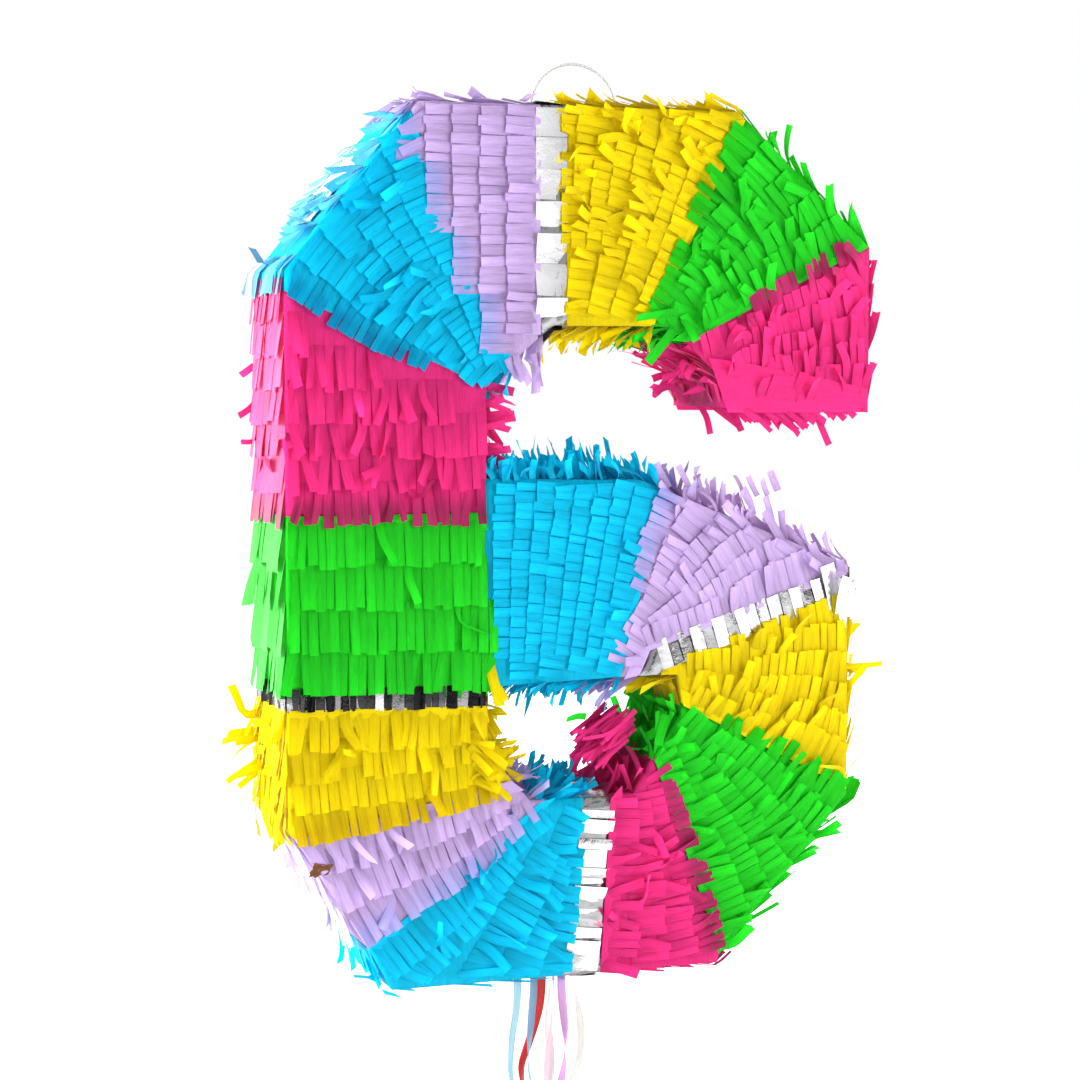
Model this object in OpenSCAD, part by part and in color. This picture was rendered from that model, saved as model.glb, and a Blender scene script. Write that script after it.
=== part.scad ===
// Number-shaped pull-ribbon pinata: a flat cardboard box in the outline of a six, covered with
// bands of fringed tissue and foil. It hangs from a stiff loop and opens by a trapdoor in its base.
// X runs left to right, Y front to back and Z up. The origin is the inside top of the loop.

/* [Box] */
// Width of the cardboard figure
body_w = 352; // [330:1:380]
// Height of the cardboard figure
body_h = 494; // [470:1:530]
// Depth of the cardboard box, front to back
body_d = 74; // [70:1:100]
// Thickness of the corrugated board
board_t = 3; // [2:0.5:4]
// Thickness of the layered fringe over the board
fringe_t = 3; // [2:0.5:4]

/* [Hanging loop] */
// Where the loop stands along the top wall, from the left side of the box
loop_x = 180; // [175:1:190]
// Radius of the loop, to the middle of its wire
loop_r = 26; // [20:1:30]
// Thickness of the stiff nylon wire
wire_d = 1.5; // [1:0.1:2]
// Height of the loop's inside top above the top wall
hang_h = 28; // [26:1:40]
// How far each foot of the loop reaches out under the hanger plate
foot_l = 8; // [5:1:10]
// Thickness of the card that spreads the load under the top wall
plate_t = 2; // [1:0.5:3]

/* [Trapdoor] */
// Middle of the trapdoor along the base, from the left side of the box
door_x = 152; // [148:1:156]
// Width of the trapdoor, left to right
door_w = 70; // [60:1:80]
// Length of the trapdoor, front to back
door_l = 48; // [40:1:48]
// Gap round the trapdoor
door_gap = 1; // [0.5:0.1:1.5]

/* [Fill flap] */
// Length of the fill flap along the slanted wall
flap_l = 60; // [50:1:64]
// Width of the fill flap, front to back
flap_w = 42; // [36:1:46]
// Thickness of the flap's card
flap_t = 1.2; // [0.8:0.1:1.6]
// How far the flap laps over the edge of the fill opening
flap_lap = 6; // [5:1:8]

/* [Ribbons] */
// Width of the curling ribbon
ribbon_w = 5; // [4:0.5:6]
// Thickness of a ribbon's solid
ribbon_t = 0.8; // [0.6:0.1:0.8]
// Radius of the wound coils, to the middle of their turns
coil_r = 26; // [25:1:28]
// Thickness of the wound turns, inside to outside
coil_wall = 13; // [12:1:14]
// Depth of the coil's middle below the base
coil_drop = 122; // [122:1:140]

/* [Hidden] */
$fn = 48;
GAP = 0.3; // clearance between pieces that move past each other
EPS = 1; // how far a cutter passes a face
half = body_d / 2;
inside = half - board_t;
skin = half + fringe_t;

// The outline is drawn on a grid of this size and stretched to the box.
GRID = [352, 494];
function on_box(p) = [p[0] * body_w / GRID[0], p[1] * body_h / GRID[1]];
function all_on_box(points) = [for (p = points) on_box(p)];

// Each wall's name stands beside the corner that it starts from, going clockwise.
OUTER = [
    ["wall_base_left", [60, 0]], ["wall_leg_outer", [0, 92]], ["wall_top_left", [0, 400]],
    ["wall_top", [76, 494]], ["wall_top_right", [268, 494]], ["wall_hook_outer", [352, 418]],
    ["wall_hook_end", [352, 325]], ["wall_hook_inner", [260, 325]], ["wall_hook_curve", [260, 341]],
    ["wall_counter_top", [226, 372]], ["wall_counter_curve", [154, 372]],
    ["wall_counter_leg", [114, 338]], ["wall_bowl_top", [114, 282]],
    ["wall_bowl_shoulder", [208, 282]], ["wall_bowl_outer", [340, 230]],
    ["wall_base_right", [340, 93]], ["wall_base", [256, 0]],
];
HOLE = [
    ["wall_hole_top", [114, 170]], ["wall_hole_right", [235, 170]],
    ["wall_hole_lower_right", [235, 146]], ["wall_hole_base", [204, 99]],
    ["wall_hole_lower_left", [140, 99]], ["wall_hole_left", [114, 131]],
];
outline = all_on_box([for (w = OUTER) w[1]]);
hole = all_on_box([for (w = HOLE) w[1]]);

// The bands of fringe, in order along the stroke from the hook to the bowl: the name, the colour,
// the line where the band starts, outer end first, and any extra corners on its inner and outer side.
PINK = "#e62a86";
GREEN = "#36cc33";
YELLOW = "#f0d80c";
LILAC = "#c7abdf";
BLUE = "#12bcec";
FOIL = "#dfe1e5";
BANDS = [
    ["fringe_hook_pink", PINK, [[375, 318], [240, 318]], [], []],
    ["fringe_hook_green", GREEN, [[372, 428], [222, 355]], [], []],
    ["fringe_top_yellow", YELLOW, [[286, 519], [204, 347]], [], []],
    ["fringe_top_foil", FOIL, [[163, 515], [163, 355]], [], []],
    ["fringe_top_lilac", LILAC, [[147, 515], [147, 355]], [], []],
    ["fringe_top_blue", BLUE, [[56, 523], [134, 341]], [], []],
    ["fringe_leg_pink", PINK, [[-20, 397], [132, 330]], [[132, 285], [114, 285]], []],
    ["fringe_leg_green", GREEN, [[-20, 266], [114, 266]], [[114, 167], [128, 167]], []],
    ["fringe_leg_foil", FOIL, [[-20, 167], [128, 161]], [], []],
    ["fringe_leg_yellow", YELLOW, [[-20, 158], [128, 152]], [], []],
    ["fringe_base_lilac", LILAC, [[-20, 81], [140, 115]], [], []],
    ["fringe_base_blue", BLUE, [[28, 9], [156, 106]], [], [[25, -15]]],
    ["fringe_base_foil", FOIL, [[160, -15], [175, 115]], [], []],
    ["fringe_base_pink", PINK, [[183, -15], [191, 115]], [], []],
    ["fringe_bowl_green", GREEN, [[267, -18], [208, 145]], [], []],
    ["fringe_bowl_yellow", YELLOW, [[360, 87], [215, 161]], [], []],
    ["fringe_bowl_foil", FOIL, [[362, 218], [222, 172], [219, 160]], [], []],
    ["fringe_bowl_lilac", LILAC, [[362, 232], [214, 184], [203, 160]], [], []],
    ["fringe_bowl_blue", BLUE, [[231, 308], [193, 158]], [[120, 158], [120, 167]], [[132, 285]]],
];
LAST_EDGE = [[114, 285], [114, 167]]; // where the bowl's fringe ends against the leg

// The ribbons below the base: the levels that each route passes, then for each ribbon its name,
// colour, first and last Y, the X at each level and the turn of its width from X at each level.
LEVELS = [0, -12, -24, -36, -48, -60, -74, -88, -98, -106];
ROW_FRONT = -32;
ROW_BACK = -26;
RELEASE_Y = [-21.5, -16];
release_start = -1.2; // just clear of the trapdoor's underside
turn_step = 1.2; // from one ribbon to the next where they lie together in the coil
near = coil_r + 0.8;
RIBBONS = [
    ["ribbon_light_blue", "#b5dbe6", ROW_FRONT, ROW_FRONT,
        [135, 135, 134, 132, 131, 131, 135, 143, 150], [10, 10, 15, 20, 30, 40, 70, 90, 90, 90], 0],
    ["ribbon_pink", "#eccbd6", ROW_FRONT, ROW_FRONT,
        [157, 157, 156.5, 155.5, 154, 153, 153, 153, 154], [50, 60, 65, 50, 20, 20, 60, 90, 90, 90], 1],
    ["ribbon_lilac", "#d8a6dc", ROW_FRONT, ROW_FRONT,
        [162, 162, 163, 164, 164, 163, 160, 157, 155.5],
        [0, -10, -30, -60, -110, -150, -200, -255, -270, -270], 2],
    ["ribbon_dusty_blue", "#7fa6c4", ROW_BACK, ROW_BACK,
        [147, 147, 146, 145, 144, 144, 147, 151, 152.5], [20, 10, 10, 20, 55, 85, 90, 90, 90, 90], 0],
    ["ribbon_white", "#f3f1ee", ROW_BACK, ROW_BACK,
        [158, 157, 156, 156, 157, 158, 157, 155, 154], [80, 60, 30, 10, 0, 20, 60, 90, 90, 90], 1],
    ["ribbon_cream", "#e9e3dc", ROW_BACK, ROW_BACK,
        [169, 171, 174, 176, 176, 174, 167, 159, 156], [80, 70, 40, 10, 0, 20, 60, 90, 90, 90], 2],
    ["release_ribbon", "#d3121c", RELEASE_Y[0], RELEASE_Y[1],
        [153.5, 153.5, 152.5, 149.5, 145.5, 142, 144, 149, 153],
        [-10, -15, -15, -10, 0, 20, 60, 90, 90, 90], 1],
];
// The routes are drawn with the door and the coil at these places.
DOOR_GRID_X = 152;
COIL_GRID_X = 126;
COIL_GRID_DROP = 122;
coil_x = COIL_GRID_X + door_x - DOOR_GRID_X;

door_back = inside - 8;
door_front = door_back - door_l;
slope_a = atan2(outline[3][1] - outline[2][1], outline[3][0] - outline[2][0]);
flap_start = 36; // along the slanted wall, from its lower end
flap_y = half - 1 - flap_w;
loop_z = body_h + hang_h - loop_r + wire_d / 2;
foot_z = body_h - board_t - plate_t - GAP - wire_d / 2;
legs = [loop_x - loop_r, loop_x + loop_r];

// Moves every edge of a closed path to the left of its own direction by d, with mitred corners.
function left_of(a, b) = [a[1] - b[1], b[0] - a[0]] / norm(b - a);
function shifted(path, d) = [
    for (i = [0:len(path) - 1])
        let (n = len(path), here = path[i])
        let (m1 = left_of(path[(i + n - 1) % n], here), m2 = left_of(here, path[(i + 1) % n]))
        here + d * (m1 + m2) / (1 + m1 * m2)
];
function reversed(list) = [for (i = [len(list) - 1:-1:0]) list[i]];

// Moves a shape drawn from the box's lower left corner to the loop's frame.
module placed() {
    translate([-loop_x, 0, -(body_h + hang_h)]) children();
}

// Stands a flat XZ outline up and gives it depth from y0 to y1.
module slab(y0, y1) {
    translate([0, y1, 0]) rotate([90, 0, 0]) linear_extrude(y1 - y0) children();
}

// The figure's outline, with everything grown by d.
module figure(d) {
    difference() {
        polygon(shifted(outline, d));
        polygon(shifted(hole, -d));
    }
}

// Puts local X along the slanted top left wall and local Z out of it.
module on_slope() {
    translate([outline[2][0], 0, outline[2][1]]) rotate([0, -slope_a, 0]) children();
}

module hanging_loop() {
    color("whitesmoke") placed() {
        translate([loop_x, 0, loop_z]) rotate([90, 0, 0])
            rotate_extrude(angle = 180) translate([loop_r, 0]) circle(d = wire_d);
        for (side = [-1, 1]) translate([loop_x + side * loop_r, 0, foot_z]) {
            cylinder(d = wire_d, h = loop_z - foot_z);
            sphere(d = wire_d);
            rotate([0, side * 90, 0]) cylinder(d = wire_d, h = foot_l);
        }
    }
}

// Slots for the loop's legs, long enough for the box to swing.
module leg_slots() {
    swing_room = 15; // front to back, for the swinging legs
    slot = [wire_d + 1, swing_room, board_t + plate_t + 2 * EPS];
    for (x = legs) translate([x - slot[0] / 2, -slot[1] / 2, body_h + EPS - slot[2]]) cube(slot);
}

module hanger_plate() {
    plate = [80, 40, plate_t];
    color("tan") placed() difference() {
        translate([loop_x - plate[0] / 2, -plate[1] / 2, body_h - board_t - plate_t]) cube(plate);
        leg_slots();
    }
}

module panel(y0) {
    color("tan") placed() slab(y0, y0 + board_t) figure(0);
}

module front_panel() {
    panel(-half);
}

module back_panel() {
    panel(inside);
}

// One straight wall strip between the panels, mitred where it meets the next.
module strip(path, i, inward) {
    next = (i + 1) % len(path);
    other = shifted(path, inward);
    slab(-inside, inside) polygon([path[i], path[next], other[next], other[i]]);
}

module door_opening() {
    size = [door_w, door_l, board_t] + 2 * [door_gap, door_gap, EPS];
    translate([door_x - size[0] / 2, door_front - door_gap, -EPS]) cube(size);
}

module fill_opening() {
    size = [flap_l - 2 * flap_lap, flap_w - 2 * flap_lap, board_t + 2 * EPS];
    on_slope() translate([flap_start + flap_lap, flap_y + flap_lap, -board_t - EPS]) cube(size);
}

module outer_wall(i) {
    color("tan") placed() difference() {
        strip(outline, i, -board_t);
        if (OUTER[i][0] == "wall_base") door_opening();
        if (OUTER[i][0] == "wall_top") leg_slots();
        if (OUTER[i][0] == "wall_top_left") fill_opening();
    }
}

module hole_wall(i) {
    color("tan") placed() strip(hole, i, board_t);
}

// The fringe stops short of the trapdoor and its ribbons, the fill flap and the loop's legs.
module fringe_windows() {
    margin = 4;
    door_side = 10; // bare base on each side of the trapdoor
    door = [door_w + 2 * door_side, inside + door_back + margin, fringe_t + EPS];
    translate([door_x - door[0] / 2, -inside, -door[2]]) cube(door);
    flap = [flap_l + 2 * margin, flap_w + margin + 1, fringe_t + 2 * EPS];
    on_slope() translate([flap_start - margin, flap_y - margin, 0]) cube(flap);
    leg = [6, 22, fringe_t + 2 * EPS]; // bare wall round each leg of the loop
    for (x = legs) translate([x - leg[0] / 2, -leg[1] / 2, body_h]) cube(leg);
}

// A band's flat outline: down its own starting line, along the inner side and back up the next.
module band_outline(i) {
    after = i + 1 < len(BANDS) ? BANDS[i + 1][2] : LAST_EDGE;
    polygon(all_on_box(concat(BANDS[i][2], BANDS[i][3], reversed(after), BANDS[i][4])));
}

module fringe(i) {
    color(BANDS[i][1]) placed() difference() {
        slab(-skin, skin) intersection() {
            band_outline(i);
            figure(fringe_t);
        }
        slab(-half, half) figure(0);
        fringe_windows();
    }
}

module trapdoor() {
    color("tan") placed()
        translate([door_x - door_w / 2, door_front, 0]) cube([door_w, door_l, board_t]);
}

module fill_flap() {
    color("white") placed() on_slope()
        translate([flap_start, flap_y, GAP]) cube([flap_l, flap_w, flap_t]);
}

// A smooth curve through the listed points, with a few steps between each pair.
STEPS = 3;
function spline(p0, p1, p2, p3, t) =
    0.5 * (2 * p1 + (p2 - p0) * t + (2 * p0 - 5 * p1 + 4 * p2 - p3) * t * t
        + (3 * p1 - p0 - 3 * p2 + p3) * t * t * t);
function smooth(points) = [
    for (k = [0:STEPS * (len(points) - 1)])
        let (last = len(points) - 1, i = min(floor(k / STEPS), last - 1))
        spline(points[max(i - 1, 0)], points[i], points[i + 1], points[min(i + 2, last)], k / STEPS - i)
];

// Each route point holds X, Y, Z and the turn of the ribbon's width.
function route(r) = [
    for (i = [0:len(LEVELS) - 1])
        let (last = len(LEVELS) - 1, share = i / last)
        let (x = i < last ? r[4][i] + door_x - DOOR_GRID_X : coil_x + near + r[6] * turn_step)
        let (z = i > 0 || r[2] != RELEASE_Y[0] ? LEVELS[i] : release_start)
        [x, r[2] + (r[3] - r[2]) * share, z - share * (coil_drop - COIL_GRID_DROP), r[5][i]]
];
function xyz(p) = [p[0], p[1], p[2]];
function unit(v) = v / norm(v);
function way(path, i) = unit(xyz(path[min(i + 1, len(path) - 1)]) - xyz(path[max(i - 1, 0)]));
SIDES = 8;
function ring(path, i) =
    let (along = way(path, i), turn = path[i][3], flat = [cos(turn), sin(turn), 0])
    let (across = unit(flat - (flat * along) * along), out = cross(along, across))
    [for (s = [0:SIDES - 1])
        let (a = (s + 0.5) * 360 / SIDES)
        xyz(path[i]) + across * cos(a) * ribbon_w / 2 + out * sin(a) * ribbon_t / 2];

module ribbon(i) {
    path = smooth(route(RIBBONS[i]));
    last = len(path) - 1;
    rings = [for (k = [0:last]) each ring(path, k)];
    sides = [
        for (k = [0:last - 1], s = [0:SIDES - 1])
            let (a = k * SIDES + s, b = k * SIDES + (s + 1) % SIDES)
            each [[a, b + SIDES, b], [a, a + SIDES, b + SIDES]]
    ];
    top = [for (s = [0:SIDES - 1]) s];
    bottom = [for (s = [SIDES - 1:-1:0]) last * SIDES + s];
    color(RIBBONS[i][1]) placed() polyhedron(rings, concat(sides, [top, bottom]));
}

// A coil is the ring-shaped space that its wound ribbons fill.
module coil(y0, y1) {
    placed() translate([coil_x, y1, -coil_drop]) rotate([90, 0, 0]) rotate_extrude()
        translate([coil_r - coil_wall / 2, 0]) square([coil_wall, y1 - y0]);
}

// A tie is a flat loop round the coil's turns, at its top.
module tie(y0, y1) {
    loop = [6, y1 - y0 + 3, coil_wall + 3];
    wall = 1;
    color("white") placed()
        translate([coil_x, (y0 + y1) / 2, coil_r - coil_drop]) difference() {
            cube(loop, center = true);
            cube(loop - [-EPS, 2 * wall, 2 * wall], center = true);
        }
}

COIL_Y = [ROW_FRONT - ribbon_w / 2, ROW_BACK + ribbon_w / 2];
RELEASE_COIL_Y = [RELEASE_Y[1] - ribbon_w / 2, RELEASE_Y[1] + ribbon_w / 2];

module ribbon_coil() {
    color("lavender") coil(COIL_Y[0], COIL_Y[1]);
}

module release_coil() {
    color("#d3121c") coil(RELEASE_COIL_Y[0], RELEASE_COIL_Y[1]);
}

module ribbon_tie() {
    tie(COIL_Y[0], COIL_Y[1]);
}

module release_tie() {
    tie(RELEASE_COIL_Y[0], RELEASE_COIL_Y[1]);
}

hanging_loop();
hanger_plate();
front_panel();
back_panel();
trapdoor();
fill_flap();
for (i = [0:len(OUTER) - 1]) outer_wall(i);
for (i = [0:len(HOLE) - 1]) hole_wall(i);
for (i = [0:len(BANDS) - 1]) fringe(i);
for (i = [0:len(RIBBONS) - 1]) ribbon(i);
ribbon_coil();
release_coil();
ribbon_tie();
release_tie();
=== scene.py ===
import math
import random

import bmesh
import bpy
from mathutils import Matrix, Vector, noise


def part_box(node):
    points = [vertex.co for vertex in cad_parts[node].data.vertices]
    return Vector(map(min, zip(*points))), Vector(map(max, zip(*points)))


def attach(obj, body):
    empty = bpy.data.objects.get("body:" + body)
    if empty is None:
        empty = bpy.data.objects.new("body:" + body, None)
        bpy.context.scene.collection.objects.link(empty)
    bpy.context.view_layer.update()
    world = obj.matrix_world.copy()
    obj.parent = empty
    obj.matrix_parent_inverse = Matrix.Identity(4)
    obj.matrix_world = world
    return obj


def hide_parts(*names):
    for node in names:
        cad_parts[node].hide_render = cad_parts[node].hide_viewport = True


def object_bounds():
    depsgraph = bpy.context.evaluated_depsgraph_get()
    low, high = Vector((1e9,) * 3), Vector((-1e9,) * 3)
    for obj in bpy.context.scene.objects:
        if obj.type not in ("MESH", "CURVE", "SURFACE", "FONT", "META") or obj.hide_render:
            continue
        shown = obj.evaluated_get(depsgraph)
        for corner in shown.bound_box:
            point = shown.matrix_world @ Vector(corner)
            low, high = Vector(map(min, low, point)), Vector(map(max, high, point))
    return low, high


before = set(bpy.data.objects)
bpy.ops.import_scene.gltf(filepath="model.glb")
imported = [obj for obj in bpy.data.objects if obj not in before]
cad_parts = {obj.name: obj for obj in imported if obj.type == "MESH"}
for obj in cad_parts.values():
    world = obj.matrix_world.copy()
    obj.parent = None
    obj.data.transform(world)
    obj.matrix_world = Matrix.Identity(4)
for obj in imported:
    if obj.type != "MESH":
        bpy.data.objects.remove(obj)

cad_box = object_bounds()
MM = 0.001

# ---- the figure's own frame
# Places on the figure are in millimetres, as in part.scad: X from the box's left side, Z up from
# its bottom and Y from its middle. spot() turns them into metres in the part's frame.
panel_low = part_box("front_panel")[0]
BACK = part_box("back_panel")[1].y / MM
FRONT = panel_low.y / MM


def spot(x, y, z):
    return Vector((panel_low.x + x * MM, y * MM, panel_low.z + z * MM))


# Each wall's name stands beside the corner that it starts from, going clockwise. The third value
# is 1 where the fringe's tips point the same way round, -1 where they point back and 0 where no
# row is. The last is how far the teeth stand off the wall, in mm, where the fringe is ruffled.
OUTER = [
    ("wall_base_left", (60, 0), -1, 5), ("wall_leg_outer", (0, 92), -1, 2.5),
    ("wall_top_left", (0, 400), -1, 10), ("wall_top", (76, 494), -1, 2),
    ("wall_top_right", (268, 494), -1, 7), ("wall_hook_outer", (352, 418), -1, 2.5),
    ("wall_hook_end", (352, 325), 0, 0), ("wall_hook_inner", (260, 325), 1, 6),
    ("wall_hook_curve", (260, 341), 1, 9), ("wall_counter_top", (226, 372), 1, 10),
    ("wall_counter_curve", (154, 372), 1, 12), ("wall_counter_leg", (114, 338), 1, 26),
    ("wall_bowl_top", (114, 282), -1, 15), ("wall_bowl_shoulder", (208, 282), -1, 13),
    ("wall_bowl_outer", (340, 230), -1, 5), ("wall_base_right", (340, 93), -1, 8),
    ("wall_base", (256, 0), -1, 1.5),
]
HOLE = [
    ("wall_hole_top", (114, 170), -1, 9), ("wall_hole_right", (235, 170), -1, 6),
    ("wall_hole_lower_right", (235, 146), -1, 10), ("wall_hole_base", (204, 99), -1, 17),
    ("wall_hole_lower_left", (140, 99), -1, 17), ("wall_hole_left", (114, 131), -1, 13),
]

# sRGB colours, as seen
PINK = (0.94, 0.20, 0.53)
GREEN = (0.14, 0.83, 0.14)
YELLOW = (0.95, 0.85, 0.0)
LILAC = (0.82, 0.71, 0.91)
BLUE = (0.0, 0.79, 0.95)
FOIL = (0.90, 0.90, 0.92)

# The bands in order along the stroke: name, colour, start line from its outer to its inner end,
# rows of teeth, tooth length in mm, mess from 0 to 1, and the wall teeth's own mess.
BANDS = [
    ("hook_pink", PINK, [(375, 327), (240, 327)], 6, 24, 0.6, 0.5),
    ("hook_green", GREEN, [(372, 428), (222, 355)], 5, 25, 0.6, 0.6),
    ("top_yellow", YELLOW, [(286, 519), (204, 347)], 8, 22, 0.35, 0.6),
    ("top_foil", FOIL, [(163, 515), (163, 355)], 1, 19, 0.1, 0.3),
    ("top_lilac", LILAC, [(147, 515), (147, 325)], 5, 21, 0.08, 0.4),
    ("top_blue", BLUE, [(56, 523), (134, 341)], 6, 24, 0.18, 0.6),
    ("leg_pink", PINK, [(-20, 397), (132, 330)], 7, 24, 0.7, 0.12),
    ("leg_green", GREEN, [(-20, 266), (114, 266)], 4, 29, 0.12, 0.12),
    ("leg_foil", FOIL, [(-20, 171), (128, 168)], 1, 13, 0.05, 0.05),
    ("leg_yellow", YELLOW, [(-20, 159), (128, 156)], 4, 23, 0.45, 0.6),
    ("base_lilac", LILAC, [(-20, 81), (140, 115)], 3, 24, 0.35, 0.5),
    ("base_blue", BLUE, [(28, 9), (156, 106)], 6, 24, 0.5, 0.4),
    ("base_foil", FOIL, [(160, -15), (175, 115)], 1, 20, 0.1, 0.3),
    ("base_pink", PINK, [(183, -15), (191, 115)], 4, 23, 0.6, 0.7),
    ("bowl_green", GREEN, [(267, -18), (208, 145)], 6, 25, 0.5, 0.6),
    ("bowl_yellow", YELLOW, [(360, 87), (215, 161)], 6, 24, 0.5, 0.5),
    ("bowl_foil", FOIL, [(362, 218), (222, 172), (219, 160)], 1, 18, 0.1, 0.4),
    ("bowl_lilac", LILAC, [(362, 232), (214, 184), (203, 160)], 6, 24, 0.2, 0.6),
    ("bowl_blue", BLUE, [(231, 308), (193, 158)], 8, 20, 0.1, 0.7),
]
LAST_EDGE = [(126, 285), (126, 167)]
LEVEL_BANDS = ("leg_pink",)  # rows parallel to the band's end, cut off by its slanting start
UPRIGHT_BANDS = {"top_lilac": 79}  # rows parallel to the start, cut off by the end, this deep
TOOTH_W = 5.3
SLOTS = {PINK: "tissue_pink", GREEN: "tissue_green", YELLOW: "tissue_yellow",
         LILAC: "tissue_lilac", BLUE: "tissue_blue", FOIL: "foil"}

# ---- camera
LENS = 82.7
CAMERA_PLACE = (-0.495, -1.367, -0.171)
CAMERA_AIM = (-0.034, -0.040, -0.2721)

scene = bpy.context.scene
scene.view_settings.view_transform = "Standard"
scene.view_settings.look = "None"


def place_aimed(thing, place, aim):
    """Puts a camera or a light at a place, looking at a point."""
    thing.location = place
    thing.rotation_euler = (Vector(aim) - thing.location).to_track_quat("-Z", "Y").to_euler()
    scene.collection.objects.link(thing)


def add_camera():
    """The photograph's viewing angle: from the left, level with the upper part."""
    data = bpy.data.cameras.new("camera")
    data.lens = LENS
    data.clip_end = 30
    camera = bpy.data.objects.new("camera", data)
    place_aimed(camera, CAMERA_PLACE, CAMERA_AIM)
    scene.camera = camera


add_camera()


# ---- node helpers
def linear(colour):
    """An sRGB colour as the linear RGBA that the shaders take."""
    return [(c / 12.92) if c <= 0.04045 else ((c + 0.055) / 1.055) ** 2.4 for c in colour] + [1]


def shaded(colour, factor):
    """A colour made darker or brighter by a factor, as linear RGBA."""
    return linear([min(1, c * factor) for c in colour])


class Shader:
    """Builds the node tree of a material, or of the world, with short calls."""

    def __init__(self, owner, output="OutputMaterial"):
        self.owner = owner
        owner.use_nodes = True
        self.tree = owner.node_tree
        self.tree.nodes.clear()
        self.output = self.node(output)

    def node(self, kind, sockets=(), **settings):
        """A new node. Each socket takes a constant or another node's output."""
        made = self.tree.nodes.new("ShaderNode" + kind)
        for key, value in settings.items():
            setattr(made, key, value)
        for key, value in dict(sockets).items():
            if isinstance(value, bpy.types.NodeSocket):
                self.tree.links.new(value, made.inputs[key])
            else:
                made.inputs[key].default_value = value
        return made

    def place(self):
        return self.node("TexCoord").outputs["Object"]

    def grain(self):
        return self.node("UVMap", uv_map="grain").outputs["UV"]

    def attribute(self, name, output="Fac"):
        return self.node("Attribute", attribute_name=name).outputs[output]

    def noise(self, vector, scale, detail=3.0, roughness=0.55):
        sockets = {"Vector": vector, "Scale": scale, "Detail": detail, "Roughness": roughness}
        return self.node("TexNoise", sockets).outputs["Fac"]

    def streaks(self, vector, scale, detail, roughness):
        """Noise stretched by its own scale along each axis."""
        stretched = self.node("Mapping", {"Vector": vector, "Scale": scale}).outputs["Vector"]
        return self.noise(stretched, 1.0, detail, roughness)

    def ramp(self, value, low, high, to_low, to_high):
        sockets = {"Value": value, "From Min": low, "From Max": high,
                   "To Min": to_low, "To Max": to_high}
        return self.node("MapRange", sockets).outputs["Result"]

    def math(self, operation, a, b):
        return self.node("Math", {0: a, 1: b}, operation=operation).outputs["Value"]

    def mix(self, fac, a, b, blend="MIX"):
        made = self.node("Mix", {0: fac, 6: a, 7: b}, data_type="RGBA", blend_type=blend)
        return made.outputs[2]

    def grey(self, value):
        return self.node("CombineColor", {0: value, 1: value, 2: value}).outputs["Color"]

    def bump(self, height, strength, distance):
        sockets = {"Height": height, "Strength": strength, "Distance": distance}
        return self.node("Bump", sockets).outputs["Normal"]

    def principled(self, **sockets):
        named = {key.replace("_", " "): value for key, value in sockets.items()}
        return self.node("BsdfPrincipled", named).outputs["BSDF"]

    def blend(self, fac, a, b):
        return self.node("MixShader", {0: fac, 1: a, 2: b}).outputs["Shader"]

    def thin(self, surface, colour, share):
        """A surface that lets a share of the light shine through."""
        through = self.node("BsdfTranslucent", {"Color": colour}).outputs["BSDF"]
        return self.blend(share, surface, through)

    def finish(self, surface):
        self.tree.links.new(surface, self.output.inputs["Surface"])
        return self.owner


def material(name):
    return Shader(bpy.data.materials.new(name))


# ---- materials
def tissue(name, colour):
    """Thin crepe tissue: fine creases along each tooth with painted shade streaked along them, soft
    cloudy dye, light shining through.
    """
    s = material(name)
    grain = s.grain()
    creases = s.streaks(grain, (900, 60, 1), 4, 0.6)
    cloud = s.noise(s.place(), 55)
    # painted shade: the crease streaks make the colour lighter and darker along each tooth
    lightness = s.math("MULTIPLY", s.attribute("tone"), s.ramp(creases, 0.25, 0.75, 0.84, 1.12))
    lightness = s.math("MULTIPLY", lightness, s.ramp(cloud, 0.3, 0.7, 0.95, 1.04))
    dye_and_glare = s.mix(s.attribute("under", "Alpha"), linear(colour), s.attribute("under", "Color"),
                 "MULTIPLY")
    # painted glare: the sides that face the key light are mixed towards white
    dye_and_glare = s.mix(s.attribute("painted_glare"), dye_and_glare, (1, 1, 1, 1))
    paint = s.mix(1.0, dye_and_glare, s.grey(lightness), "MULTIPLY")
    wrinkle = s.bump(s.streaks(grain, (420, 120, 1), 5, 0.65), 0.5, 0.0012)
    front = s.principled(Base_Color=paint, Roughness=0.6, Specular_IOR_Level=0.12,
                         Sheen_Weight=0.08, Sheen_Roughness=0.4, Normal=wrinkle)
    return s.finish(s.thin(front, paint, 0.32))


def foil_paper():
    """Metallised foil: mirror-like with soft rolling creases, darkened tooth by tooth by a painted
    reflection.
    """
    s = material("silver_foil")
    place = s.place()
    # painted reflection and shade: the tone attribute darkens the silver
    paint = s.mix(1.0, linear((0.955, 0.955, 0.965)), s.grey(s.attribute("tone")), "MULTIPLY")
    rough = s.ramp(s.noise(place, 160), 0.3, 0.7, 0.10, 0.24)
    creases = s.bump(s.noise(place, 90, 4, 0.6), 0.2, 0.004)
    return s.finish(s.principled(Base_Color=paint, Metallic=0.95, Roughness=rough, Normal=creases))


WAVE_PERIOD = 0.314  # metres between a wave texture's bands at scale 1


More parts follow.
